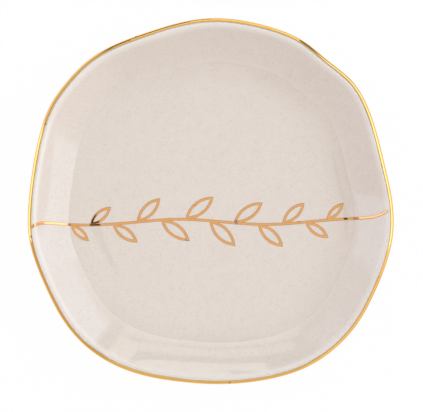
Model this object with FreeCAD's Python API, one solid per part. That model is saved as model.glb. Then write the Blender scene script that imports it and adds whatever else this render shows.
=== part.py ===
"""A ring dish of glazed stoneware: a shallow dish with a wavy hand-formed rim on a round foot ring.

The clay body carries a coat of glaze inside, a coat outside and a glazed recess under the floor. Its foot
ring is bare clay. A gold band covers the outer half of the lip, and a gold leaf sprig lies across the inside.

Millimetres, +Z up. The origin is on the table under the middle of the dish, +X to the right of the sprig.

Every surface is a net of rings. A ring is a closed curve round the dish at one station of its section, and it
passes through one point every few degrees. A smooth surface is stretched over a list of such rings.
"""

import FreeCAD
import Part

import math
import os

Vector = FreeCAD.Vector

# Overall sizes, measured over the gold
overall_width = 110.0
overall_height = 14.6

# How far the rim stands out from the middle, counter-clockwise from +Y, as shares of half the width
rim_shares = [
    1.003, 0.993, 0.988, 1.003, 1.022, 1.024, 1.022, 1.002, 0.989,
    0.994, 1.011, 1.014, 1.020, 1.038, 1.047, 1.039, 1.020, 1.003,
    1.001, 1.010, 1.028, 1.047, 1.051, 1.042, 1.023, 1.014, 1.007,
    0.987, 0.968, 0.973, 0.996, 1.013, 1.000, 1.012, 1.009, 1.005,
]
# Where the clay is pressed in the rim rises, by this share of the distance
rim_lift_share = 0.3

# Coats
glaze_thickness = 0.4
gold_thickness = 0.15

# Inside of the dish
floor_height = 5.8
flat_radius = 29.0
crease_inset = 12.2
crease_rise = 1.3
# The crease lies this much further out at the sides, and as much further in at the front and back
crease_oval = 0.5
# It also lies this much further out on the right, and as much further in on the left
crease_lean = 0.45
# Stations from the flat of the floor to the crease, as shares of that run and rise
floor_shares = [(0.0, 0.0), (0.30, 0.04), (0.58, 0.22), (0.82, 0.58), (0.95, 0.865), (0.985, 0.96)]
# Stations from the crease to the lip, as shares of that run and rise
wall_shares = [
    (0.0, 0.0), (0.02, 0.012), (0.06, 0.037), (0.18, 0.114), (0.38, 0.259),
    (0.585, 0.439), (0.75, 0.604), (0.87, 0.734), (0.945, 0.819),
]

# Wall and lip, glaze included
wall_thickness = 2.8
lip_drop = 0.8
# The gold band's two edges, in stations outwards from the crest of the lip
gold_inner_share = -0.02
gold_outer_share = 1.35

# Foot
foot_radius = 36.0
foot_width = 3.6
foot_chamfer = 0.5
glaze_line_height = 1.2
recess_height = 2.0

# Gold sprig
stroke_width = 0.87
# Control points of the stem's middle line from the left rim to the right, as shares of half the width
stem_shares = [
    (-0.978, -0.150), (-0.945, -0.122), (-0.870, -0.118), (-0.700, -0.130),
    (-0.450, -0.115), (-0.200, -0.085), (0.050, -0.105), (0.300, -0.130),
    (0.550, -0.105), (0.750, -0.088), (0.900, -0.092), (0.955, -0.060),
]
stem_steps = 96
leaf_count = 12
leaf_length = 11.0
leaf_width = 4.2
leaf_lean_degrees = 40.0
# The leaves spread over this share of the stem, and the end ones have this share of the full length
leaf_spread_share = 0.58
leaf_end_share = 0.62

# Worked out from the sizes above
half_width = overall_width / 2
rim_radius = half_width - gold_thickness
highest_lift = rim_lift_share * half_width * (1 - min(rim_shares))
lip_height = overall_height - gold_thickness - highest_lift
crease_radius = rim_radius - crease_inset
crease_height = floor_height + crease_rise
underside_height = recess_height + glaze_thickness
foot_inner_radius = foot_radius - foot_width
foot_root_height = floor_height - wall_thickness
glazed_foot_radius = foot_radius + glaze_thickness
columns = len(rim_shares)
smoothing_rounds = 60


def through(points):
    """Control points of the closed cubic curve that passes through these points."""
    controls = list(points)
    for _ in range(smoothing_rounds):
        eased = [
            (controls[i - 1] + controls[i] * 4 + controls[(i + 1) % columns]) / 6
            for i in range(columns)
        ]
        controls = [c + p - e for c, p, e in zip(controls, points, eased)]
    return controls


def ring(station):
    """Control points of the ring at a station (radius, height, start), which waves more further out."""
    radius, height, start = station
    outwards = min(max((radius - start) / (rim_radius - start), 0), 1)
    wave = 1 - (1 - outwards) ** 3
    bulge = 4 * outwards * (1 - outwards)
    upwards = max((height - crease_height) / (lip_height - crease_height), 0)
    points = []
    for column, share in enumerate(rim_shares):
        swell = half_width * (share - 1)
        angle = math.pi * (0.5 + 2 * column / columns)
        shift = crease_oval * math.cos(2 * angle) + crease_lean * math.cos(angle)
        reach = radius + wave * swell + bulge * shift
        lift = -rim_lift_share * swell * upwards ** 2
        points.append(Vector(reach * math.cos(angle), reach * math.sin(angle), height + lift))
    return through(points)


def round_edge(radius, height):
    """A ring without waves, as an edge."""
    curve = Part.BSplineCurve()
    knots = list(range(columns + 1))
    curve.buildFromPolesMultsKnots(ring((radius, height, radius)), [1] * len(knots), knots, True, 3)
    return curve.toShape()


def clamped(points):
    """Control points with one more near each end, so that a smooth line over them reaches both ends."""
    first, second, before, last = points[0], points[1], points[-2], points[-1]
    return [first, first + (second - first) / 3] + points[1:-1] + [last + (before - last) / 3, last]


def clamped_mults(points):
    """How often each knot counts in a line over control points that were clamped."""
    return [4] + [1] * (len(points) - 2) + [4]


def skin(stations):
    """The smooth surface over these stations. Its second parameter counts the stations from 0."""
    rings = [ring(station) for station in stations]
    around = list(range(columns + 1))
    along = list(range(len(stations)))
    surface = Part.BSplineSurface()
    surface.buildFromPolesMultsKnots(
        [clamped(list(column)) for column in zip(*rings)],
        [1] * len(around),
        clamped_mults(stations),
        around,
        along,
        True,
        False,
        3,
        3,
    )
    return surface


def section():
    """Stations of the glazed surface: up the inside, over the lip, down the outside and onto the foot."""
    floor_run = crease_radius - flat_radius
    wall_run = rim_radius - wall_thickness - crease_radius
    wall_rise = lip_height - crease_height
    inside = [
        (flat_radius + run * floor_run, floor_height + rise * crease_rise, flat_radius)
        for run, rise in floor_shares
    ]
    inside += [
        (crease_radius + run * wall_run, crease_height + rise * wall_rise, flat_radius)
        for run, rise in wall_shares
    ]
    # The outside lies a wall's thickness off the inside, as far as the root of the foot
    outside = [
        (radius, height, glazed_foot_radius)
        for radius, height, _ in reversed(offset(inside, -wall_thickness))
        if radius > glazed_foot_radius + wall_thickness
    ]
    # The rounded crest and the widest point come out at lip_height and rim_radius
    crest_inset = wall_thickness / 2
    widest = rim_radius + (crest_inset + rim_radius - outside[0][0]) / 4
    lip = [
        (rim_radius - wall_thickness, lip_height - lip_drop, flat_radius),
        (rim_radius - crest_inset, lip_height + lip_drop / 2, flat_radius),
        (widest, lip_height - lip_drop, glazed_foot_radius),
    ]
    middle_of_foot = (foot_root_height + glaze_line_height) / 2
    foot = [
        (glazed_foot_radius, height, glazed_foot_radius)
        for height in (foot_root_height, middle_of_foot, glaze_line_height)
    ]
    return inside + lip + outside + foot, len(inside) + 1


def offset(stations, distance):
    """The stations moved off the glazed surface along its section's normal, out of the clay if positive."""
    moved = []
    last = len(stations) - 1
    for i, (radius, height, start) in enumerate(stations):
        before, after = stations[max(i - 1, 0)], stations[min(i + 1, last)]
        along = Vector(after[0] - before[0], 0, after[1] - before[1])
        normal = Vector(-along.z, 0, along.x).normalize() * distance
        moved.append((radius + normal.x, height + normal.z, start))
    return moved


def patch(surface, first, last):
    """The part of a skin between two stations."""
    piece = surface.copy()
    piece.segment(0, columns, first, last)
    return piece.toShape()


def edge_strip(surface_a, surface_b, station):
    """The strip that joins two skins along one station."""
    return Part.makeRuledSurface(surface_a.vIso(station).toShape(), surface_b.vIso(station).toShape())


def disc(surface):
    """The flat disc inside a skin's first ring."""
    return Part.Face(Part.Wire(surface.vIso(0).toShape()))


def flat_face(wires):
    """The flat face inside the first wire and outside the second."""
    return Part.makeFace(wires, "Part::FaceMakerBullseye")


def closed_solid(faces):
    """The solid that these faces close off."""
    solid = Part.makeSolid(Part.makeShell(faces))
    if solid.Volume < 0:
        solid.reverse()
    return solid


def make_body(clay):
    """The clay: floor, wall and lip as one skin, closed below by the bare foot ring and the underside."""
    _, _, _, last = clay.bounds()
    foot = [
        (foot_radius, glaze_line_height),
        (foot_radius, foot_chamfer),
        (foot_radius - foot_chamfer, 0),
        (foot_inner_radius + foot_chamfer, 0),
        (foot_inner_radius, foot_chamfer),
        (foot_inner_radius, underside_height),
    ]
    edges = [round_edge(*place) for place in foot]
    sides = [Part.makeRuledSurface(edges[i], edges[i + 1]) for i in (0, 1, 3, 4)]
    rest = flat_face([Part.Wire(edge) for edge in edges[2:4]])
    underside = Part.Face(Part.Wire(edges[5]))
    return closed_solid([patch(clay, 0, last), disc(clay), rest, underside] + sides)


def make_liner(glazed, clay, crest):
    """The glaze inside the dish, up to the crest of the lip."""
    faces = [patch(s, 0, crest) for s in (glazed, clay)]
    faces += [disc(s) for s in (glazed, clay)]
    return closed_solid(faces + [edge_strip(glazed, clay, crest)])


def make_outer_glaze(glazed, clay, crest):
    """The glaze outside the dish, from the crest of the lip to its line on the foot."""
    _, _, _, last = glazed.bounds()
    faces = [patch(s, crest, last) for s in (glazed, clay)]
    return closed_solid(faces + [edge_strip(glazed, clay, end) for end in (crest, last)])


def make_recess_glaze():
    """The glaze under the floor, inside the foot ring."""
    edge = round_edge(foot_inner_radius, recess_height)
    return Part.Face(Part.Wire(edge)).extrude(Vector(0, 0, glaze_thickness))


def make_gold_band(gilded, glazed, crest):
    """The gold on the outer half of the lip."""
    ends = (crest + gold_inner_share, crest + gold_outer_share)
    faces = [patch(s, *ends) for s in (gilded, glazed)]
    return closed_solid(faces + [edge_strip(gilded, glazed, end) for end in ends])


def make_gold_film(gilded, glazed, crest):
    """A film of gold over the whole inside, up to the gold band. The sprig is cut out of it."""
    end = crest + gold_inner_share
    faces = [patch(s, 0, end) for s in (gilded, glazed)]
    faces += [disc(s) for s in (gilded, glazed)]
    return closed_solid(faces + [edge_strip(gilded, glazed, end)])


def stem_line():
    """The stem's middle line, seen from above. Its parameter counts the control points from 0."""
    points = [Vector(x * half_width, y * half_width, 0) for x, y in stem_shares]
    curve = Part.BSplineCurve()
    curve.buildFromPolesMultsKnots(clamped(points), clamped_mults(points), list(range(len(points))), False, 3)
    return curve


def side_of(line, parameter, distance):
    """The point beside a line at a parameter, to its left if the distance is positive."""
    along = line.tangent(parameter)[0]
    return line.value(parameter) + Vector(-along.y, along.x, 0).normalize() * distance


def stem_outline(line):
    """The outline of a stroke along the stem, with round ends."""
    first, last = line.FirstParameter, line.LastParameter
    stops = [first + (last - first) * i / stem_steps for i in range(stem_steps + 1)]
    edges = []
    for distance in (stroke_width / 2, -stroke_width / 2):
        side = Part.BSplineCurve()
        side.interpolate([side_of(line, stop, distance) for stop in stops])
        edges.append(side.toShape())
    for end, way in ((first, -1), (last, 1)):
        left, right = (side_of(line, end, d) for d in (stroke_width / 2, -stroke_width / 2))
        tip = line.value(end) + line.tangent(end)[0].normalize() * (way * stroke_width / 2)
        edges.append(Part.Arc(left, tip, right).toShape())
    return Part.Face(Part.Wire(Part.__sortEdges__(edges)))


def leaf_wire(length, width):
    """A pointed oval of two arcs, lying along +X from its middle."""
    left, right = Vector(-length / 2, 0, 0), Vector(length / 2, 0, 0)
    arcs = [Part.Arc(left, Vector(0, side * width / 2, 0), right).toShape() for side in (1, -1)]
    return Part.Wire(arcs)


def leaf_outline(length):
    """A leaf drawn as a line: a pointed oval with a smaller one, a stroke's width inside it, left bare."""
    width = leaf_width * length / leaf_length
    bow = (length ** 2 + width ** 2) / (4 * width)
    bare_length = 2 * math.sqrt((bow - stroke_width) ** 2 - (bow - width / 2) ** 2)
    return flat_face([leaf_wire(length, width), leaf_wire(bare_length, width - 2 * stroke_width)])


def leaf_outlines(line):
    """The leaves along the stem, by turns above and below it, smaller towards both ends."""
    first, last = line.FirstParameter, line.LastParameter
    leaves = []
    for i in range(leaf_count):
        place = (i + 0.5) / leaf_count
        fullness = leaf_end_share + (1 - leaf_end_share) * math.sin(math.pi * place)
        length = leaf_length * fullness
        parameter = first + (last - first) * (0.5 + leaf_spread_share * (place - 0.5))
        along = line.tangent(parameter)[0]
        lean = leaf_lean_degrees if i % 2 else -leaf_lean_degrees
        turn = math.degrees(math.atan2(along.y, along.x)) + lean
        leaf = leaf_outline(length)
        leaf.translate(Vector(length / 2, 0, 0))
        leaf.rotate(Vector(0, 0, 0), Vector(0, 0, 1), turn)
        leaf.translate(line.value(parameter))
        leaves.append(leaf)
    return leaves


def upright(outline):
    """An outline on the table made as tall as the dish."""
    return outline.extrude(Vector(0, 0, overall_height))


def make_sprig(film):
    """The stem and the leaves, cut out of the gold film so that they follow the dish."""
    line = stem_line()
    stem = upright(stem_outline(line))
    leaves = [upright(leaf).cut(stem) for leaf in leaf_outlines(line)]
    return film.common(stem), film.common(Part.makeCompound(leaves))


def make_parts():
    stations, crest = section()
    glazed = skin(stations)
    clay = skin(offset(stations, -glaze_thickness))
    gilded = skin(offset(stations, gold_thickness))
    stem, leaves = make_sprig(make_gold_film(gilded, glazed, crest))
    return {
        "stoneware_body": make_body(clay),
        "liner_glaze": make_liner(glazed, clay, crest),
        "outer_glaze": make_outer_glaze(glazed, clay, crest),
        "recess_glaze": make_recess_glaze(),
        "gold_rim_band": make_gold_band(gilded, glazed, crest),
        "gold_stem": stem,
        "gold_leaves": leaves,
    }


def main():
    os.makedirs("parts", exist_ok=True)
    for name, shape in make_parts().items():
        shape.exportStep(f"parts/{name}.step")
        print(name, len(shape.Solids), "solids", shape.isValid(), round(shape.Volume, 1), "mm3")


main()
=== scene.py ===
"""Looks of a ring dish: glazed stoneware with a wavy rim, a gold lip and a gold leaf sprig across the inside.

Every piece lies on one form, the dish's glazed surface. A station counts along the dish's section, from the
middle of the floor up the inside, over the lip and down the outside to the foot. A point on the form is
given by its angle round the dish, its station and how far it stands proud of the glaze.

Lengths are in metres, in the same frame as the solids.
"""

import math
from bisect import bisect
from functools import lru_cache
from typing import NamedTuple

import bmesh
import bpy
from bpy.props import FloatProperty, FloatVectorProperty, IntProperty, PointerProperty
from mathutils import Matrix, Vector, noise


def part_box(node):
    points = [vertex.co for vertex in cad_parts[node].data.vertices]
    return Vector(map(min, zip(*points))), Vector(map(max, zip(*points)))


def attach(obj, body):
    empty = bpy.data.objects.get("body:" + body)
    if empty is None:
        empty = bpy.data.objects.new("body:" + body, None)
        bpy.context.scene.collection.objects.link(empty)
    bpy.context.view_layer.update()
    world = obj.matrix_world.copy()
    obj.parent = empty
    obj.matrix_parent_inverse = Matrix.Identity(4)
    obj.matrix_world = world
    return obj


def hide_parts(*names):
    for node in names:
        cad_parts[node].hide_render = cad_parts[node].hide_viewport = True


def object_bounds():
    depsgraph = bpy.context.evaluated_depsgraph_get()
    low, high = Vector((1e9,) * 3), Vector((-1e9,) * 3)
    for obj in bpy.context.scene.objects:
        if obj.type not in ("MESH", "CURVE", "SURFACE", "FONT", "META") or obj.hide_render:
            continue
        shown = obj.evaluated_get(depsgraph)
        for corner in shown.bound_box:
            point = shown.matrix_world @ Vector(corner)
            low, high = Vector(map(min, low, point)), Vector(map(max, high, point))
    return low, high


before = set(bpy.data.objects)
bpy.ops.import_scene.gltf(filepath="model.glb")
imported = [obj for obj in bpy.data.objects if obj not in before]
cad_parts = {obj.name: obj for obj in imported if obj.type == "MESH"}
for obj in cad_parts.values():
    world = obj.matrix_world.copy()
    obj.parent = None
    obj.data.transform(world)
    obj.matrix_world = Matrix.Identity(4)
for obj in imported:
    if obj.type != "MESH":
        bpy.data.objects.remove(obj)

bl_info = {
    "name": "Ring Dish",
    "version": (1, 0, 0),
    "blender": (4, 5, 0),
    "location": "3D View > Sidebar > Ring Dish",
    "description": "Builds the pieces, finishes and stage of a glazed ring dish with a gold lip",
    "category": "Object",
}

CAD_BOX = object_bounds()
FLOOR_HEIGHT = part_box("gold_leaves")[0].z
RECESS_LOW, RECESS_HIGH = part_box("recess_glaze")
LINER_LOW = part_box("liner_glaze")[0]
OUTER_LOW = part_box("outer_glaze")[0]

# How far the rim stands out, counter-clockwise from +Y, as shares of half the width
RIM_SHARES = (
    1.003, 0.993, 0.988, 1.003, 1.022, 1.024, 1.022, 1.002, 0.989,
    0.994, 1.011, 1.014, 1.020, 1.038, 1.047, 1.039, 1.020, 1.003,
    1.001, 1.010, 1.028, 1.047, 1.051, 1.042, 1.023, 1.014, 1.007,
    0.987, 0.968, 0.973, 0.996, 1.013, 1.000, 1.012, 1.009, 1.005,
)
# Stations of the flat floor as shares of its radius, then two runs as shares of their length and rise
FLAT_SHARES = (0.0, 0.4, 0.8)
FLOOR_SHARES = ((0.0, 0.0), (0.30, 0.04), (0.58, 0.22), (0.82, 0.58), (0.95, 0.865), (0.985, 0.96))
WALL_SHARES = (
    (0.0, 0.0), (0.02, 0.012), (0.06, 0.037), (0.18, 0.114), (0.38, 0.259),
    (0.585, 0.439), (0.75, 0.604), (0.87, 0.734), (0.945, 0.819),
)
# Control points of the stem's middle line from the left rim to the right, as shares of half the width
STEM_SHARES = (
    (-0.978, -0.150), (-0.945, -0.122), (-0.870, -0.118), (-0.700, -0.130),
    (-0.450, -0.115), (-0.200, -0.085), (0.050, -0.105), (0.300, -0.130),
    (0.550, -0.105), (0.750, -0.088), (0.900, -0.092), (0.955, -0.060),
)
# Points of the recess glaze's flat, as shares of the recess's radius
RECESS_SHARES = (0.0, 0.3, 0.6, 0.9)
# How steeply the sides of a stroke's film rise, against a round section
FILM_STEEPNESS = 3
# A leaf's film against the stem's, so that they share no surface where they cross
LEAF_FILM_SHARE = 0.9
# Uneven edges that a brush leaves on the gold band: their reach in stations and their waves round the dish
BRUSH_WAVES = ((0.05, 6), (0.03, 21))
# Height in the noise at which the band's outer edge gets waves of its own
OUTER_BRUSH_HEIGHT = 5.0

# How finely the pieces are divided
SPIN_WEDGES = 12
WEDGE_STEPS = 24
STATION_STEP = 0.2
BAND_STEP = 0.1
FOOT_SEGMENTS = 5
FILLET_STEP = math.radians(15)
STEM_ROWS = 300
CAP_ROWS = 6
LEAF_ROWS = 64
FILM_SIDES = 12
MERGE_DISTANCE = 1e-7


def length(name, description, default):
    return FloatProperty(name=name, description=description, default=default, unit="LENGTH", precision=5)


def share(name, description, default):
    return FloatProperty(name=name, description=description, default=default)


def turn(name, description, degrees):
    return FloatProperty(name=name, description=description, default=math.radians(degrees), subtype="ANGLE")


def colour(name, description, default):
    limits = {"subtype": "COLOR", "min": 0, "max": 1}
    return FloatVectorProperty(name=name, description=description, default=default, **limits)


def light(name, description, default):
    limits = {"subtype": "COLOR", "min": 0, "max": 4}
    return FloatVectorProperty(name=name, description=description, default=default, **limits)


class RingDishSizes(bpy.types.PropertyGroup):
    half_width: length("Half width", "Half of the dish's width over the gold", 0.055)
    top_height: length("Top", "Highest point of the lip", CAD_BOX[1].z)
    rim_lift: share("Rim lift", "How much the rim rises where it is pressed in", 0.3)
    floor_height: length("Floor height", "Glaze of the floor above the table", FLOOR_HEIGHT)
    flat_radius: length("Flat radius", "Where the floor starts to rise", 0.029)
    crease_inset: length("Crease inset", "From the rim to the crease between floor and wall", 0.0122)
    crease_rise: length("Crease rise", "Crease above the flat of the floor", 0.0013)
    crease_oval: length("Crease oval", "How much further out the crease lies at the sides", 0.0005)
    crease_lean: length("Crease lean", "How much further out the crease lies on the right", 0.00045)
    wall_thickness: length("Wall", "Thickness of the wall and the lip, glaze included", 0.0028)
    lip_drop: length("Lip drop", "Depth of the lip's rounding", 0.0008)
    glaze_thickness: length("Glaze", "Thickness of the glaze", FLOOR_HEIGHT - LINER_LOW.z)
    foot_radius: length("Foot radius", "Outside of the foot ring", 0.036)
    foot_inner_radius: length("Foot inner radius", "Inside of the foot ring", RECESS_HIGH.x)
    foot_rounding: length("Foot rounding", "Rounding of the foot ring's edges", 0.0005)
    glaze_line: length("Glaze line", "Where the outer glaze ends above the table", OUTER_LOW.z)
    recess_height: length("Recess", "Glaze under the floor above the table", RECESS_LOW.z)
    gold_thickness: length("Gold allowance", "Room for the gold inside the dish's overall width", 0.00015)
    film_thickness: length("Gold film", "How far the gold stands proud of the glaze", 0.00006)
    band_inner: share("Band inner edge", "Stations from the crest to the gold band's inner edge", -0.02)
    band_outer: share("Band outer edge", "Stations from the crest to the gold band's outer edge", 1.35)
    band_thinned: share("Band thinned", "Stations that the band's inner edge lacks all round", 0.05)
    band_thinned_front: share("Band thinned in front", "Stations that it lacks on top of that in front", 0.12)
    stroke: length("Stroke", "Width of the sprig's line", 0.00087)
    leaf_count: IntProperty(name="Leaves", description="Leaves along the stem", default=12)
    leaf_length: length("Leaf length", "Longest leaf, tip to tip", 0.011)
    leaf_width: length("Leaf width", "Widest leaf", 0.0042)
    leaf_lean: turn("Leaf lean", "Turn of a leaf from the stem", 40)
    leaf_spread: share("Leaf spread", "Share of the stem that carries leaves", 0.58)
    leaf_end: share("End leaves", "Length of the end leaves as a share of the longest", 0.62)


class RingDishColours(bpy.types.PropertyGroup):
    glaze: colour("Glaze", "Beige of the glaze", (0.785, 0.701, 0.635))
    # Also the colour of the painted shade in the thin darker line along the crease
    glaze_grain_and_crease_shade: colour("Grain", "Fine grains in the glaze, and the painted shade of the crease", (0.590, 0.440, 0.370))
    # Painted shade: the glaze is darkened along the floor's edge inside the crease, most towards the back
    # right
    glaze_floor_shade: colour("Floor shade", "Glaze darkened as painted shade along the floor's edge", (0.690, 0.560, 0.505))
    # Partly glaze that runs thin and pale, partly a painted sheen on the lip, strongest at the back and the
    # left
    glaze_thin_and_sheen: colour("Lip glaze", "Glaze where it runs thin, with a painted sheen on the lip", (0.860, 0.810, 0.760))
    clay: colour("Clay", "Bare fired clay of the foot", (0.480, 0.360, 0.260))
    clay_grit: colour("Grit", "Dark grit in the clay", (0.200, 0.130, 0.090))
    rim_gold: colour("Rim gold", "Gold of the lip", (0.880, 0.530, 0.150))
    # Darker than the rim's gold, partly for the sprig's thinner lustre and partly as painted shade for the
    # dimmer light it reflects
    sprig_gold: colour("Sprig gold", "Gold of the sprig", (0.730, 0.360, 0.150))
    gold_edge: colour("Gold edge", "Tint where the gold runs thin at its edges", (0.560, 0.430, 0.420))
    floor: colour("Floor", "Table and backdrop", (0.900, 0.900, 0.900))


class RingDishStage(bpy.types.PropertyGroup):
    camera_distance: length("Camera distance", "From the lens to the rim", 0.9)
    camera_elevation: turn("Camera elevation", "Camera above the horizon", 85.5)
    view_width: length("View width", "Width of the picture at the rim", 0.1264)
    aim_x: length("Aim across", "Middle of the picture, to the right of the dish's", 0.00015)
    aim_y: length("Aim along", "Middle of the picture, behind the dish's", -0.0018)
    table_reach: length("Table reach", "From the middle of the table to its sides", 3.0)
    table_white: share("Table white", "How far the table is seen as white and not as lit", 0.975)
    sky_front: light("Sky front", "Light of the room in front", (0.66, 0.55, 0.52))
    sky_right: light("Sky right", "Light of the room to the right", (1.34, 1.19, 1.10))
    sky_left: light("Sky left", "Light of the room to the left", (0.74, 0.57, 0.57))
    sky_back: light("Sky back", "Light of the room behind", (0.15, 0.15, 0.15))
    sky_gap: light("Sky gap", "Light from between the walls and the ceiling", (0.60, 0.60, 0.60))
    sky_overhead: light("Sky overhead", "Light of the ceiling", (1.06, 1.14, 1.07))


def blend_weights(t):
    """Shares of four neighbours in a smooth cubic curve, a fraction t of the way from second to third."""
    return ((1 - t) ** 3 / 6, (4 - 6 * t**2 + 3 * t**3) / 6, (1 + 3 * (t + t**2 - t**3)) / 6, t**3 / 6)


def steps_between(first, last, step):
    """Evenly spaced values from first to last, about a step apart."""
    count = max(round(abs(last - first) / step), 1)
    return [first + (last - first) * i / count for i in range(count + 1)]


class SmoothLine:
    """The smooth curve from the first control point to the last. A place on it counts the points."""

    SLOPE_STEP = 0.02

    def __init__(self, points):
        self.last = len(points) - 1
        before, after = (self.mirrored(points[i], points[j]) for i, j in ((0, 1), (-1, -2)))
        self.points = [before, *points, after]

    @staticmethod
    def mirrored(end, neighbour):
        return tuple(2 * a - b for a, b in zip(end, neighbour))

    def at(self, place):
        first = min(max(int(place), 0), self.last - 1)
        w0, w1, w2, w3 = blend_weights(place - first)
        near = zip(*self.points[first:first + 4])
        return tuple(w0 * a + w1 * b + w2 * c + w3 * d for a, b, c, d in near)

    def along(self, place):
        """The line's direction at a place, in its first two measures."""
        behind, ahead = max(place - self.SLOPE_STEP, 0), min(place + self.SLOPE_STEP, self.last)
        (x0, y0), (x1, y1) = self.at(behind)[:2], self.at(ahead)[:2]
        return Vector((x1 - x0, y1 - y0)).normalized()


def closed_controls(values, rounds=60):
    """Control values of the closed cubic curve that passes through these values."""
    controls = list(values)
    count = len(controls)
    for _ in range(rounds):
        eased = [(controls[i - 1] + 4 * controls[i] + controls[(i + 1) % count]) / 6 for i in range(count)]
        controls = [c + v - e for c, v, e in zip(controls, values, eased)]
    return controls


class DishForm:
    """The dish's glazed surface."""

    SEARCH_STEP = 0.05

    def __init__(self, sizes):
        self.sizes = sizes
        self.swells = closed_controls([sizes.half_width * (s - 1) for s in RIM_SHARES])
        self.rim_radius = sizes.half_width - sizes.gold_thickness
        highest_lift = sizes.rim_lift * sizes.half_width * (1 - min(RIM_SHARES))
        self.lip_height = sizes.top_height - sizes.gold_thickness - highest_lift
        self.crease_height = sizes.floor_height + sizes.crease_rise
        stations, self.crest = self.section()
        self.crease = len(FLAT_SHARES) + len(FLOOR_SHARES)
        self.line = SmoothLine(stations)
        self.last = self.line.last
        self.profile = lru_cache(maxsize=None)(self.profile)
        self.waves = lru_cache(maxsize=None)(self.waves)
        stations = steps_between(0, self.crest + 1, self.SEARCH_STEP)
        self.inside = [(station, *self.line.at(station)) for station in stations]

    def section(self):
        """The stations as (radius, height, wave, lift, bulge), and the lip's crest among them."""
        s = self.sizes
        crease_radius = self.rim_radius - s.crease_inset
        floor_run = crease_radius - s.flat_radius
        wall_run = self.rim_radius - s.wall_thickness - crease_radius
        wall_rise = self.lip_height - self.crease_height
        glazed_foot = s.foot_radius + s.glaze_thickness
        flat = [(s.flat_radius * part, s.floor_height) for part in FLAT_SHARES]
        inside = [
            *((s.flat_radius + x * floor_run, s.floor_height + z * s.crease_rise) for x, z in FLOOR_SHARES),
            *((crease_radius + x * wall_run, self.crease_height + z * wall_rise) for x, z in WALL_SHARES),
        ]
        outside = [
            place for place in reversed(self.beside(inside, -s.wall_thickness))
            if place[0] > glazed_foot + s.wall_thickness
        ]
        crest_inset = s.wall_thickness / 2
        # A cubic curve stays inside its control points, so the widest one stands out for it to reach the rim
        widest = self.rim_radius + (crest_inset + self.rim_radius - outside[0][0]) / 4
        lip_inside = [
            (self.rim_radius - s.wall_thickness, self.lip_height - s.lip_drop),
            (self.rim_radius - crest_inset, self.lip_height + s.lip_drop / 2),
        ]
        root = s.floor_height - s.wall_thickness
        foot = [(glazed_foot, z) for z in (root, (root + s.glaze_line) / 2, s.glaze_line)]
        inner = flat + inside + lip_inside
        outer = [(widest, self.lip_height - s.lip_drop)] + outside + foot
        stations = [self.weighted(place, s.flat_radius) for place in inner]
        stations += [self.weighted(place, glazed_foot) for place in outer]
        return stations, len(inner) - 1

    @staticmethod
    def beside(places, distance):
        """Section points moved off the surface, out of the clay if the distance is positive."""
        moved = []
        for i, (radius, height) in enumerate(places):
            before, after = places[max(i - 1, 0)], places[min(i + 1, len(places) - 1)]
            along = Vector((after[0] - before[0], after[1] - before[1])).normalized()
            moved.append((radius - along.y * distance, height + along.x * distance))
        return moved

    def weighted(self, place, start):
        """A section point with its shares of the rim's waves and the crease's shift past a radius."""
        radius, height = place
        outwards = min(max((radius - start) / (self.rim_radius - start), 0), 1)
        upwards = max((height - self.crease_height) / (self.lip_height - self.crease_height), 0)
        wave = 1 - (1 - outwards) ** 3
        lift = -self.sizes.rim_lift * upwards**2
        bulge = 4 * outwards * (1 - outwards)
        return radius, height, wave, lift, bulge

    def waves(self, angle):
        """How far the rim stands out at an angle, against its mean, and how far the crease does."""
        s = self.sizes
        count = len(self.swells)
        place = (angle / math.tau - 0.25) % 1 * count
        first = int(place)
        weights = enumerate(blend_weights(place - first), first - 1)
        swell = sum(weight * self.swells[i % count] for i, weight in weights)
        return swell, s.crease_oval * math.cos(2 * angle) + s.crease_lean * math.cos(angle)

    def profile(self, station, proud=0.0):
        """The section at a station, for a point that stands proud of the glaze."""
        radius, height, *shares = self.line.at(station)
        along = self.line.along(station)
        return radius - along.y * proud, height + along.x * proud, *shares

    def point(self, angle, station, proud=0.0):
        """The point at an angle and a station, which stands proud of the glaze."""
        radius, height, wave, lift, bulge = self.profile(station, proud)
        swell, shift = self.waves(round(angle, 6))
        reach = radius + wave * swell + bulge * shift
        return Vector((reach * math.cos(angle), reach * math.sin(angle), height + lift * swell))

    def drape(self, place, proud):
        """The point over a place seen from above, on the inside of the dish."""
        x, y = place
        angle, reach = math.atan2(y, x), math.hypot(x, y)
        swell, shift = self.waves(round(angle, 6))

        def span(entry):
            _, radius, _, wave, _, bulge = entry
            return radius + wave * swell + bulge * shift

        after = bisect(self.inside, reach, key=span)
        near, far = self.inside[after - 1:after + 1]
        share_on = (reach - span(near)) / (span(far) - span(near))
        return self.point(angle, near[0] + share_on * (far[0] - near[0]), proud)


def stem_line(sizes):
    """The stem's middle line, seen from above."""
    return SmoothLine([(x * sizes.half_width, y * sizes.half_width) for x, y in STEM_SHARES])


class Value:
    """A shader value. Python's operators add Math nodes to it."""

    def __init__(self, nodes, socket):
        self.nodes = nodes
        self.socket = socket

    def math(self, operation, *others):
        return self.nodes.node("ShaderNodeMath", {"operation": operation}, dict(enumerate((self, *others))))

    def __add__(self, other):
        return self.math("ADD", other)

    __radd__ = __add__

    def __mul__(self, other):
        return self.math("MULTIPLY", other)

    __rmul__ = __mul__

    def __sub__(self, other):
        return self.math("SUBTRACT", other)

    def __rsub__(self, other):
        return self.math("MULTIPLY_ADD", -1.0, other)

    def ramp(self, low, high, start=0.0, end=1.0):
        """A smooth change from start to end as the value goes from low to high."""
        places = {"Value": self, "From Min": low, "From Max": high, "To Min": start, "To Max": end}
        return self.nodes.node("ShaderNodeMapRange", {"interpolation_type": "SMOOTHSTEP"}, places)

    def hump(self, start, full, fade, end):
        """A smooth rise to 1 as the value goes from start to full, and a fall to 0 from fade to end."""
        return self.ramp(start, full) * self.ramp(end, fade)


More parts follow.
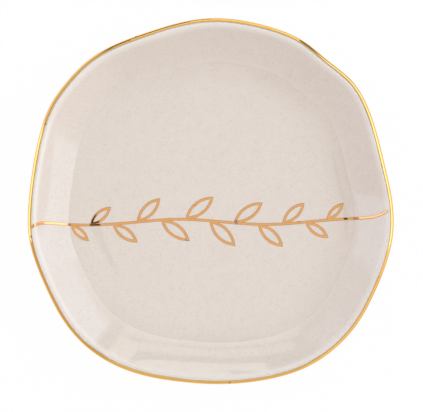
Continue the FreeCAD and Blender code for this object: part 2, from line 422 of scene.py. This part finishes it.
class Nodes:
    """A node tree whose nodes are added by expressions."""

    def __init__(self, owner):
        owner.use_nodes = True
        self.tree = owner.node_tree
        self.tree.nodes.clear()

    def node(self, kind, settings=None, inputs=None, output=0):
        """Adds a node with its settings and the values or links of its sockets, and gives one output."""
        made = self.tree.nodes.new(kind)
        for key, setting in (settings or {}).items():
            setattr(made, key, setting)
        for key, value in (inputs or {}).items():
            if isinstance(value, Value):
                self.tree.links.new(value.socket, made.inputs[key])
            else:
                made.inputs[key].default_value = value
        return Value(self, made.outputs[output]) if made.outputs else None

    def mix(self, factor, first, second):
        """A colour that goes from the first to the second as the factor goes from 0 to 1."""
        first, second = (v if isinstance(v, Value) else (*v, 1.0) for v in (first, second))
        return self.node("ShaderNodeMix", {"data_type": "RGBA"}, {0: factor, 6: first, 7: second}, output=2)


class Finish(Nodes):
    """A material that patterns a piece by its place on the object."""

    def __init__(self, name):
        self.material = bpy.data.materials.new(name)
        super().__init__(self.material)

    def place(self):
        return self.node("ShaderNodeTexCoord", output="Object")

    def axes(self):
        return [self.node("ShaderNodeSeparateXYZ", inputs={0: self.place()}, output=axis) for axis in "XYZ"]

    def attribute(self, name):
        return self.node("ShaderNodeAttribute", {"attribute_name": name}, output="Fac")

    def noise(self, size, detail=2.0, roughness=0.5):
        """Soft noise whose blobs are about this far apart."""
        inputs = {"Vector": self.place(), "Scale": 1 / size, "Detail": detail, "Roughness": roughness}
        return self.node("ShaderNodeTexNoise", inputs=inputs)

    def pattern(self, kind):
        """How strongly a pattern shows."""
        blobs = self.noise(kind.size, kind.detail, kind.roughness)
        return blobs.ramp(kind.low, kind.high, 0.0, kind.strength)

    def relief(self, kind):
        """The normal of a surface with soft bumps."""
        height = self.noise(kind.size, kind.detail)
        return self.node("ShaderNodeBump", inputs={"Height": height, "Distance": kind.depth})

    def end(self, surface):
        self.node("ShaderNodeOutputMaterial", inputs={"Surface": surface})
        return self.material

    def principled(self, inputs):
        """Ends the material in a Principled shader with these inputs."""
        return self.end(self.node("ShaderNodeBsdfPrincipled", inputs=inputs))


def settings(context):
    """The dish's sizes and colours."""
    scene = context.scene
    return scene.ring_dish_sizes, scene.ring_dish_colours


def new_mesh_object(name, bm, material):
    mesh = bpy.data.meshes.new(name)
    bm.to_mesh(mesh)
    bm.free()
    mesh.shade_smooth()
    mesh.materials.append(material)
    made = bpy.data.objects.new(name, mesh)
    bpy.context.scene.collection.objects.link(made)
    return made


def add_piece(name, bm, material, node):
    """Makes a mesh a piece of the dish that stands for one of its solids."""
    piece = new_mesh_object(name, bm, material)
    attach(piece, "root")
    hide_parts(node)


def on_form(form, stations, proud):
    """Outline points on the dish's form, as (radius, height, station, proud)."""
    return [(*form.profile(station, proud)[:2], station, proud) for station in stations]


OFF_FORM = -1.0


def off_form(*places):
    """Outline points that keep their radius and height all round."""
    return [(radius, height, OFF_FORM, 0.0) for radius, height in places]


def spin_round(form, outline, shift=None):
    """Spins an outline round the dish and lays its points on the dish's form.

    An outline that starts on the axis ends there, and any other is closed. The shift moves a point along
    its section by an amount that changes with the angle.
    """
    bm = bmesh.new()
    station_layer = bm.verts.layers.float.new("station")
    proud_layer = bm.verts.layers.float.new("proud")
    verts = []
    for radius, height, station, proud in outline:
        vert = bm.verts.new((radius, 0, height))
        vert[station_layer] = station
        vert[proud_layer] = proud
        verts.append(vert)
    edges = [bm.edges.new(pair) for pair in zip(verts, verts[1:])]
    if outline[0][0] > 0:
        edges.append(bm.edges.new((verts[-1], verts[0])))
    upright = {"axis": (0, 0, 1), "cent": (0, 0, 0)}
    wedge = math.tau / SPIN_WEDGES
    bmesh.ops.spin(bm, geom=verts + edges, angle=wedge, steps=WEDGE_STEPS, **upright)
    whole = [*bm.verts, *bm.edges, *bm.faces]
    rest = math.tau - wedge
    bmesh.ops.spin(bm, geom=whole, angle=rest, steps=SPIN_WEDGES - 1, use_duplicate=True, **upright)
    bmesh.ops.remove_doubles(bm, verts=bm.verts[:], dist=MERGE_DISTANCE)
    bmesh.ops.recalc_face_normals(bm, faces=bm.faces[:])
    for vert in bm.verts:
        station = vert[station_layer]
        if station >= 0:
            angle = math.atan2(vert.co.y, vert.co.x)
            moved = station + shift(angle, station) if shift else station
            vert.co = form.point(angle, moved, vert[proud_layer])
    return bm


def add_film(bm, rows, place_of):
    """Adds a closed film of gold to a mesh.

    The film's section is a closed loop that stands proud of the glaze and sinks into it as far. place_of
    gives the point at a share of the film's length, a share of its half width from the middle and a share of
    its thickness.
    """
    across_layer = bm.verts.layers.float.get("across") or bm.verts.layers.float.new("across")
    grid = bmesh.ops.create_grid(bm, x_segments=rows, y_segments=FILM_SIDES, size=0.5)
    for vert in grid["verts"]:
        row = round((vert.co.x + 0.5) * rows)
        around = math.tau * (vert.co.y + 0.5)
        side = math.cos(around)
        lift = min(max(FILM_STEEPNESS * math.sin(around), -1), 1)
        vert[across_layer] = abs(side)
        vert.co = place_of(row / rows, side, lift)


def close_films(bm):
    """Closes the seams of films."""
    bmesh.ops.remove_doubles(bm, verts=bm.verts[:], dist=MERGE_DISTANCE)
    bmesh.ops.recalc_face_normals(bm, faces=bm.faces[:])


class Pattern(NamedTuple):
    """Soft noise in a finish, which shows from a low value of the noise and fully from a high one."""

    size: float
    low: float
    high: float
    strength: float
    detail: float = 2.0
    roughness: float = 0.5


class Relief(NamedTuple):
    """Soft bumps on a finish."""

    size: float
    depth: float
    detail: float


GLAZE_CLOUDS = Pattern(size=0.012, low=0.3, high=0.7, strength=0.03, detail=3)
GLAZE_SPECKS = Pattern(size=0.0009, low=0.50, high=0.72, strength=0.2, detail=3, roughness=0.7)
GLAZE_GRAINS = Pattern(size=0.00045, low=0.40, high=0.75, strength=0.14, roughness=0.7)
GLAZE_MOTTLES = Pattern(size=0.003, low=0.3, high=0.7, strength=0.06)
GLAZE_RIPPLES = Relief(size=0.006, depth=0.00001, detail=1)
GLAZE_ROUGHNESS = 0.02
# How strong the flecks have to be before they show
CLEAR_GLAZE = 0.04
# Tones of the glaze: where they start, are full, fade and end, in stations past the crease: the painted shade
# along the floor's edge, the painted shade in the crease, and the paler thin glaze above it
FLOOR_SHADE_SPAN = (-4.6, -2.2, -0.2, 0.6)
CREASE_SHADE_SPAN = (-1.0, 0.0, 0.0, 1.0)
THIN_SPAN = (0.0, 1.2, 1.2, 3.4)
# The same for the lip's pale tone and painted sheen, past the crest
LIP_SPAN = (-1.9, -0.3, 0.6, 2.0)
# How strongly the tones show. The painted shade along the floor's edge gains for each metre to the right and
# for each square metre of x times y, and the lip's pale tone and painted sheen gain for each metre to the
# back or the left
FLOOR_SHADE_CLOUDS = GLAZE_CLOUDS._replace(strength=0.2)
FLOOR_SHADE_STRENGTH = 0.25
FLOOR_SHADE_SHARE = 0.6
FLOOR_SHADE_RIGHT = 8
FLOOR_SHADE_DIAGONAL = 250
CREASE_SHADE_STRENGTH = 0.05
THIN_STRENGTH = 0.2
LIP_STRENGTH = 0.7
LIP_SHEEN_BACK_LEFT = 3

GOLD_DEEP = Pattern(size=0.003, low=0.3, high=0.7, strength=0.25)
GOLD_DULL = Pattern(size=0.0012, low=0.35, high=0.75, strength=0.04, detail=3)
GOLD_MISSES = Pattern(size=0.0022, low=0.78, high=0.82, strength=0.8, detail=0)
GOLD_ROUGHNESS = 0.02
# Share of the gold's light that is left where it is deep and beside its edges, and of its edges' where it is
# missed
DEEP_SHADE = 0.8
BESIDE_EDGE_SHADE = 0.85
BESIDE_EDGE_STRENGTH = 0.6
MISSED_SHADE = 0.45
# Where the gold's edges start to turn and are mauve: stations from the band's inner edge, shares of a stroke
BAND_EDGE = (0.3, 0.05)
STROKE_EDGE = (0.75, 0.97)

CLAY_GRIT = Pattern(size=0.0004, low=0.55, high=0.75, strength=0.5, detail=4, roughness=0.7)
CLAY_SHADES = Pattern(size=0.008, low=0.3, high=0.7, strength=0.2, detail=3)
CLAY_TOOTH = Relief(size=0.0003, depth=0.00006, detail=3)
CLAY_ROUGHNESS = 0.85


def glaze_finish(name, colours, form):
    """Beige glaze with fine grains, painted shade at the crease, and pale thin glaze with painted sheen on
    the lip.
    """
    f = Finish(name)
    x, y, _ = f.axes()
    station = f.attribute("station")
    past_crease = station - form.crease
    past_crest = station - form.crest
    specks = f.pattern(GLAZE_SPECKS)
    flecks = specks + f.pattern(GLAZE_GRAINS) + f.pattern(GLAZE_MOTTLES) + f.pattern(GLAZE_CLOUDS)
    base = f.mix(flecks - CLEAR_GLAZE, colours.glaze, colours.glaze_grain_and_crease_shade)
    # Painted shade along the floor's edge, stronger to the right and towards the back right
    side = FLOOR_SHADE_SHARE + x * y * FLOOR_SHADE_DIAGONAL + x * FLOOR_SHADE_RIGHT
    floor_shade = past_crease.hump(*FLOOR_SHADE_SPAN) * side * (FLOOR_SHADE_STRENGTH + f.pattern(FLOOR_SHADE_CLOUDS) + specks)
    base = f.mix(floor_shade, base, colours.glaze_floor_shade)
    # Painted shade: a thin darker line along the crease
    base = f.mix(past_crease.hump(*CREASE_SHADE_SPAN) * CREASE_SHADE_STRENGTH, base, colours.glaze_grain_and_crease_shade)
    # Pale where the glaze runs thin over the lip, plus a painted sheen there, strongest to the back and the
    # left
    lip = past_crest.hump(*LIP_SPAN) * (LIP_STRENGTH + (y - x) * LIP_SHEEN_BACK_LEFT)
    base = f.mix(past_crease.hump(*THIN_SPAN) * THIN_STRENGTH + lip, base, colours.glaze_thin_and_sheen)
    ripples = f.relief(GLAZE_RIPPLES)
    return f.principled({"Base Color": base, "Roughness": GLAZE_ROUGHNESS, "Normal": ripples})


def shaded(tint, shade):
    """A colour at a share of its light."""
    return tuple(part * shade for part in tint)


def gold_finish(name, gold, colours, layer, middle, edge):
    """Fired gold, whose tone deepens and turns mauve from a layer's middle value to its edge value."""
    f = Finish(name)
    base = f.mix(f.pattern(GOLD_DEEP), gold, shaded(gold, DEEP_SHADE))
    way = f.attribute(layer)
    halfway = (middle + edge) / 2
    base = f.mix(way.ramp(middle, halfway) * BESIDE_EDGE_STRENGTH, base, shaded(gold, BESIDE_EDGE_SHADE))
    base = f.mix(way.ramp(halfway, edge), base, colours.gold_edge)
    base = f.mix(f.pattern(GOLD_MISSES), base, shaded(colours.gold_edge, MISSED_SHADE))
    haze = GOLD_ROUGHNESS + f.pattern(GOLD_DULL)
    return f.principled({"Base Color": base, "Roughness": haze, "Metallic": 1.0})


def clay_finish(name, colours):
    """Bare fired clay with grit."""
    f = Finish(name)
    base = f.mix(f.pattern(CLAY_GRIT), colours.clay, colours.clay_grit)
    base = f.mix(f.pattern(CLAY_SHADES), base, colours.clay_grit)
    tooth = f.relief(CLAY_TOOTH)
    return f.principled({"Base Color": base, "Roughness": CLAY_ROUGHNESS, "Normal": tooth})


class RINGDISH_OT_stoneware_body(bpy.types.Operator):
    """Clay under the glaze, with the bare foot ring"""

    bl_idname = "ring_dish.stoneware_body"
    bl_label = "Stoneware Body"

    def execute(self, context):
        sizes, colours = settings(context)
        form = DishForm(sizes)
        underside = sizes.recess_height + sizes.glaze_thickness
        outline = on_form(form, steps_between(0, form.last, STATION_STEP), -sizes.glaze_thickness)
        foot_inside = sizes.foot_inner_radius
        outline += off_form((sizes.foot_radius, 0), (foot_inside, 0))
        outline += off_form((foot_inside, underside), (0, underside))
        bm = spin_round(form, outline)
        bmesh.ops.bevel(
            bm,
            geom=[edge for edge in bm.edges if self.is_foot_edge(edge, sizes)],
            offset=sizes.foot_rounding,
            affect="EDGES",
            segments=FOOT_SEGMENTS,
            profile=0.5,
            material=-1,
        )
        add_piece("stoneware_body_clay", bm, clay_finish("bare clay", colours), "stoneware_body")
        return {"FINISHED"}

    @staticmethod
    def is_foot_edge(edge, sizes):
        """Whether an edge runs round one of the foot's two lower corners."""
        reaches = [v.co.xy.length for v in edge.verts]
        on_table = max(abs(v.co.z) for v in edge.verts) < MERGE_DISTANCE
        return on_table and abs(reaches[0] - reaches[1]) < sizes.foot_rounding


class RINGDISH_OT_liner_glaze(bpy.types.Operator):
    """Glaze inside the dish, from the floor to the crest of the lip"""

    bl_idname = "ring_dish.liner_glaze"
    bl_label = "Liner Glaze"

    def execute(self, context):
        sizes, colours = settings(context)
        form = DishForm(sizes)
        up = steps_between(0, form.crest, STATION_STEP)
        outline = on_form(form, up, 0.0) + on_form(form, reversed(up), -sizes.glaze_thickness)
        bm = spin_round(form, outline)
        finish = glaze_finish("liner glaze", colours, form)
        add_piece("liner_glaze_coat", bm, finish, "liner_glaze")
        return {"FINISHED"}


class RINGDISH_OT_outer_glaze(bpy.types.Operator):
    """Glaze outside the dish, from the crest of the lip to its line on the foot"""

    bl_idname = "ring_dish.outer_glaze"
    bl_label = "Outer Glaze"

    def execute(self, context):
        sizes, colours = settings(context)
        form = DishForm(sizes)
        down = steps_between(form.crest, form.last, STATION_STEP)
        outline = on_form(form, down, 0.0) + on_form(form, reversed(down), -sizes.glaze_thickness)
        bm = spin_round(form, outline)
        finish = glaze_finish("outer glaze", colours, form)
        add_piece("outer_glaze_coat", bm, finish, "outer_glaze")
        return {"FINISHED"}


class RINGDISH_OT_recess_glaze(bpy.types.Operator):
    """Glaze under the floor, inside the foot ring"""

    bl_idname = "ring_dish.recess_glaze"
    bl_label = "Recess Glaze"

    def execute(self, context):
        sizes, colours = settings(context)
        form = DishForm(sizes)
        low, high = sizes.recess_height, sizes.recess_height + sizes.glaze_thickness
        reach = sizes.foot_inner_radius
        fillet = sizes.glaze_thickness
        corner = [
            (reach - fillet * (1 - math.sin(a)), low - fillet * (1 - math.cos(a)))
            for a in steps_between(0, math.pi / 2, FILLET_STEP)
        ]
        flat = [(reach * part, low) for part in RECESS_SHARES]
        bm = spin_round(form, off_form(*flat, *corner, (reach, high), (0, high)))
        finish = glaze_finish("recess glaze", colours, form)
        add_piece("recess_glaze_coat", bm, finish, "recess_glaze")
        return {"FINISHED"}


class RINGDISH_OT_gold_band(bpy.types.Operator):
    """Band of gold on the outer half of the lip"""

    bl_idname = "ring_dish.gold_band"
    bl_label = "Gold Band"

    def execute(self, context):
        sizes, colours = settings(context)
        form = DishForm(sizes)
        inner_edge = form.crest + sizes.band_inner
        outer_edge = form.crest + sizes.band_outer
        across = steps_between(inner_edge, outer_edge, BAND_STEP)
        outline = on_form(form, across[:1], 0.0) + on_form(form, across[1:-1], sizes.film_thickness)
        outline += on_form(form, across[-1:], 0.0) + on_form(form, reversed(across), -sizes.film_thickness)
        middle = (inner_edge + outer_edge) / 2
        half = (outer_edge - inner_edge) / 2

        def wobble(angle, station):
            """Uneven edges, with a band that is thinner inwards, most of all in front."""
            inwards = max(middle - station, 0.0) / half
            ring = Vector((math.cos(angle), math.sin(angle), 0.0 if inwards else OUTER_BRUSH_HEIGHT))
            thinned = sizes.band_thinned + sizes.band_thinned_front * max(-math.sin(angle), 0.0)
            return thinned * inwards + sum(reach * noise.noise(ring * waves) for reach, waves in BRUSH_WAVES)

        bm = spin_round(form, outline, wobble)
        tint = (inner_edge + past for past in BAND_EDGE)
        finish = gold_finish("rim gold", colours.rim_gold, colours, "station", *tint)
        add_piece("gold_band", bm, finish, "gold_rim_band")
        return {"FINISHED"}


class RINGDISH_OT_gold_stem(bpy.types.Operator):
    """Gold line across the inside of the dish"""

    bl_idname = "ring_dish.gold_stem"
    bl_label = "Gold Stem"

    def execute(self, context):
        sizes, colours = settings(context)
        form = DishForm(sizes)
        line = stem_line(sizes)
        half = sizes.stroke / 2

        def place_of(share_along, side, lift):
            row = share_along * STEM_ROWS
            to_end = min(row, STEM_ROWS - row, CAP_ROWS) / CAP_ROWS * math.pi / 2
            run = min(max((row - CAP_ROWS) / (STEM_ROWS - 2 * CAP_ROWS), 0), 1) * line.last
            along = line.along(run)
            beyond = math.copysign(half * math.cos(to_end), share_along - 0.5)
            narrow = math.sin(to_end)
            beside = Vector((-along.y, along.x)) * (side * half * narrow)
            place = Vector(line.at(run)) + along * beyond + beside
            return form.drape(place, lift * sizes.film_thickness * narrow)

        bm = bmesh.new()
        add_film(bm, STEM_ROWS, place_of)
        close_films(bm)
        finish = gold_finish("stem gold", colours.sprig_gold, colours, "across", *STROKE_EDGE)
        add_piece("gold_stem_line", bm, finish, "gold_stem")
        return {"FINISHED"}


class RINGDISH_OT_gold_leaves(bpy.types.Operator):
    """Gold leaves along the stem, by turns above and below it"""

    bl_idname = "ring_dish.gold_leaves"
    bl_label = "Gold Leaves"

    def execute(self, context):
        sizes, colours = settings(context)
        form = DishForm(sizes)
        line = stem_line(sizes)
        bm = bmesh.new()
        for i in range(sizes.leaf_count):
            self.add_leaf(bm, form, line, sizes, i)
        close_films(bm)
        finish = gold_finish("leaf gold", colours.sprig_gold, colours, "across", *STROKE_EDGE)
        add_piece("gold_leaf_lines", bm, finish, "gold_leaves")
        return {"FINISHED"}

    def add_leaf(self, bm, form, line, sizes, number):
        """Adds the outline of one leaf, which is longest in the middle of the stem."""
        place = (number + 0.5) / sizes.leaf_count
        reach = sizes.leaf_length * (sizes.leaf_end + (1 - sizes.leaf_end) * math.sin(math.pi * place))
        width = sizes.leaf_width * reach / sizes.leaf_length
        bow = (reach**2 + width**2) / (4 * width)
        bare_reach = 2 * math.sqrt((bow - sizes.stroke) ** 2 - (bow - width / 2) ** 2)
        run = line.last * (0.5 + sizes.leaf_spread * (place - 0.5))
        along = line.along(run)
        lean = sizes.leaf_lean if number % 2 else -sizes.leaf_lean
        direction = math.atan2(along.y, along.x) + lean
        forward = Vector((math.cos(direction), math.sin(direction)))
        sideways = Vector((-forward.y, forward.x))
        middle = Vector(line.at(run)) + forward * (reach / 2)

        def place_of(share_along, side, lift):
            outer = self.oval_point(reach, width, share_along)
            inner = self.oval_point(bare_reach, width - 2 * sizes.stroke, share_along)
            x, y = (outer + inner) / 2 + (outer - inner) / 2 * side
            proud = lift * sizes.film_thickness * LEAF_FILM_SHARE
            return form.drape(middle + forward * x + sideways * y, proud)

        add_film(bm, LEAF_ROWS, place_of)

    @staticmethod
    def oval_point(reach, width, share_round):
        """The point at a share of the way round a pointed oval of two arcs, from one tip and back to it."""
        bow = (reach**2 + width**2) / (4 * width)
        opening = math.asin(reach / 2 / bow)
        way = 1 - abs(2 * share_round - 1)
        angle = opening * (2 * way - 1)
        rise = bow * math.cos(angle) - (bow - width / 2)
        return Vector((bow * math.sin(angle), math.copysign(rise, 0.5 - share_round)))


# Windows and softboxes by their ranges of azimuth and elevation, the width of their soft edge, all in
# degrees, and their light
LIGHTS = (
    ((63, 73.5), (8, 32.2), 0.5, (1.82, 1.73, 1.48)),
    ((73.5, 91), (8, 19.4), 0.5, (2.05, 2.1, 1.9)),
    ((91, 98), (14, 19.4), 0.5, (2.05, 2.1, 1.9)),
    ((73.5, 112), (25.3, 35), 0.5, (1.42, 1.36, 1.15)),
    ((63, 118), (36.5, 45), 0.5, (1.45, 1.33, 1.15)),
    ((-9, 12), (19, 44), 4, (2.4, 2.65, 2.95)),
    ((12, 28), (13, 44), 5, (2.25, 2.55, 3.05)),
    ((28, 55), (18, 39), 4, (2.05, 2.35, 2.85)),
    ((154, 187), (1, 40), 2.5, (1.75, 1.95, 2.3)),
    ((120, 154), (1, 36), 8, (1.0, 1.0, 1.05)),
    ((195, 345), (-4, 20), 10, (0.8, 0.8, 0.8)),
    ((235, 298), (24, 66), 8, (0.84, 0.80, 0.76)),
)
# Dark gear overhead, by its place and reach to the right and the back, as parts of a direction's length
DARK_SPOTS = (((0.092, 0.098), (0.052, 0.02)), ((-0.273, 0.07), (0.026, 0.07)))
DARK_SOFT_EDGE = 0.2
# Where one part of the room gives way to the next, along an axis of the direction
ROOM_BLENDS = (
    ("X", 0.15, 0.55, "sky_right"),
    ("X", -0.15, -0.55, "sky_left"),
    ("Y", 0.45, 0.80, "sky_back"),
    ("Z", 0.68, 0.72, "sky_gap"),
    ("Z", 0.88, 0.91, "sky_overhead"),
)
# Rays that see the table as white
SEEING_RAYS = ("Is Camera Ray", "Is Glossy Ray", "Is Transmission Ray")


class RINGDISH_OT_stage(bpy.types.Operator):
    """Camera, table and light"""

    bl_idname = "ring_dish.stage"
    bl_label = "Stage"

    def execute(self, context):
        scene = context.scene
        stage = scene.ring_dish_stage
        scene.view_settings.view_transform = "Standard"
        self.add_camera(scene, stage)
        self.add_table(stage, scene.ring_dish_colours)
        self.add_sky(scene, stage)
        return {"FINISHED"}

    @staticmethod
    def add_camera(scene, stage):
        data = bpy.data.cameras.new("camera")
        data.sensor_fit = "HORIZONTAL"
        data.angle_x = 2 * math.atan(stage.view_width / 2 / stage.camera_distance)
        camera = bpy.data.objects.new("camera", data)
        scene.collection.objects.link(camera)
        aim = Vector((stage.aim_x, stage.aim_y, CAD_BOX[1].z))
        back = Vector((0, -math.cos(stage.camera_elevation), math.sin(stage.camera_elevation)))
        camera.location = aim + back * stage.camera_distance
        camera.rotation_euler = (-back).to_track_quat("-Z", "Y").to_euler()
        scene.camera = camera

    @staticmethod
    def add_table(stage, colours):
        """The table, which lights the dish as a pale floor and is seen as white with a soft shadow."""
        bm = bmesh.new()
        bmesh.ops.create_grid(bm, x_segments=1, y_segments=1, size=stage.table_reach)
        f = Finish("table")
        seen = sum(f.node("ShaderNodeLightPath", output=ray) for ray in SEEING_RAYS).math("MINIMUM", 1.0)
        plain = f.node("ShaderNodeBsdfDiffuse", inputs={"Color": (*colours.floor, 1.0)})
        white = f.node("ShaderNodeEmission", inputs={"Color": (1.0, 1.0, 1.0, 1.0), "Strength": 1.0})
        seen_white = seen * stage.table_white
        finish = f.end(f.node("ShaderNodeMixShader", inputs={0: seen_white, 1: plain, 2: white}))
        new_mesh_object("table", bm, finish)

    @staticmethod
    def within(axes, azimuths, elevations, soft_edge):
        """How far a direction lies within ranges of azimuth and elevation with a soft edge, from 0 to 1."""
        x, y, z = (axes[axis] for axis in "XYZ")
        middle, half = math.radians(sum(azimuths) / 2), math.radians(azimuths[1] - azimuths[0]) / 2
        ahead = x * math.cos(middle) + y * math.sin(middle)
        aside = y * math.cos(middle) - x * math.sin(middle)
        turned = aside.math("ARCTAN2", ahead).math("ABSOLUTE")
        raised = z.math("ARCSINE")
        low, high = map(math.radians, elevations)
        soft = math.radians(soft_edge) / 2
        inside = turned.ramp(half + soft, half - soft)
        return inside * raised.ramp(low - soft, low + soft) * raised.ramp(high + soft, high - soft)

    @classmethod
    def add_sky(cls, scene, stage):
        """The room: brighter to the right and overhead, darker at the back and between wall and ceiling."""
        world = bpy.data.worlds.new("studio")
        nodes = Nodes(world)
        ray = nodes.node("ShaderNodeTexCoord", output="Generated")
        axes = {axis: nodes.node("ShaderNodeSeparateXYZ", inputs={0: ray}, output=axis) for axis in "XYZ"}
        room = stage.sky_front
        for axis, start, full, part in ROOM_BLENDS:
            room = nodes.mix(axes[axis].ramp(start, full), room, getattr(stage, part))
        for *ranges, level in LIGHTS:
            room = nodes.mix(cls.within(axes, *ranges), room, level)
        for spot, reach in DARK_SPOTS:
            off_x, off_y = ((axes[axis] - at) * (1 / far) for axis, at, far in zip("XY", spot, reach))
            dark = (off_x * off_x + off_y * off_y).ramp(1 + DARK_SOFT_EDGE, 1 - DARK_SOFT_EDGE)
            room = nodes.mix(dark, room, (0.0, 0.0, 0.0))
        sky = nodes.node("ShaderNodeBackground", inputs={"Color": room, "Strength": 1.0})
        nodes.node("ShaderNodeOutputWorld", inputs={"Surface": sky})
        scene.world = world


STEPS = (
    RINGDISH_OT_stoneware_body,
    RINGDISH_OT_liner_glaze,
    RINGDISH_OT_outer_glaze,
    RINGDISH_OT_recess_glaze,
    RINGDISH_OT_gold_band,
    RINGDISH_OT_gold_stem,
    RINGDISH_OT_gold_leaves,
    RINGDISH_OT_stage,
)


class RINGDISH_PT_panel(bpy.types.Panel):
    bl_idname = "RINGDISH_PT_panel"
    bl_label = "Ring Dish"
    bl_space_type = "VIEW_3D"
    bl_region_type = "UI"
    bl_category = "Ring Dish"

    def draw(self, context):
        for step in STEPS:
            self.layout.operator(step.bl_idname)


GROUPS = {
    "ring_dish_sizes": RingDishSizes,
    "ring_dish_colours": RingDishColours,
    "ring_dish_stage": RingDishStage,
}
CLASSES = (*GROUPS.values(), *STEPS, RINGDISH_PT_panel)


def register():
    for cls in CLASSES:
        bpy.utils.register_class(cls)
    for name, group in GROUPS.items():
        setattr(bpy.types.Scene, name, PointerProperty(type=group))


def unregister():
    for name in GROUPS:
        delattr(bpy.types.Scene, name)
    for cls in reversed(CLASSES):
        bpy.utils.unregister_class(cls)


def main():
    register()
    bpy.ops.ring_dish.stoneware_body()
    bpy.ops.ring_dish.liner_glaze()
    bpy.ops.ring_dish.outer_glaze()
    bpy.ops.ring_dish.recess_glaze()
    bpy.ops.ring_dish.gold_band()
    bpy.ops.ring_dish.gold_stem()
    bpy.ops.ring_dish.gold_leaves()
    bpy.ops.ring_dish.stage()


if __name__ == "__main__":
    main()
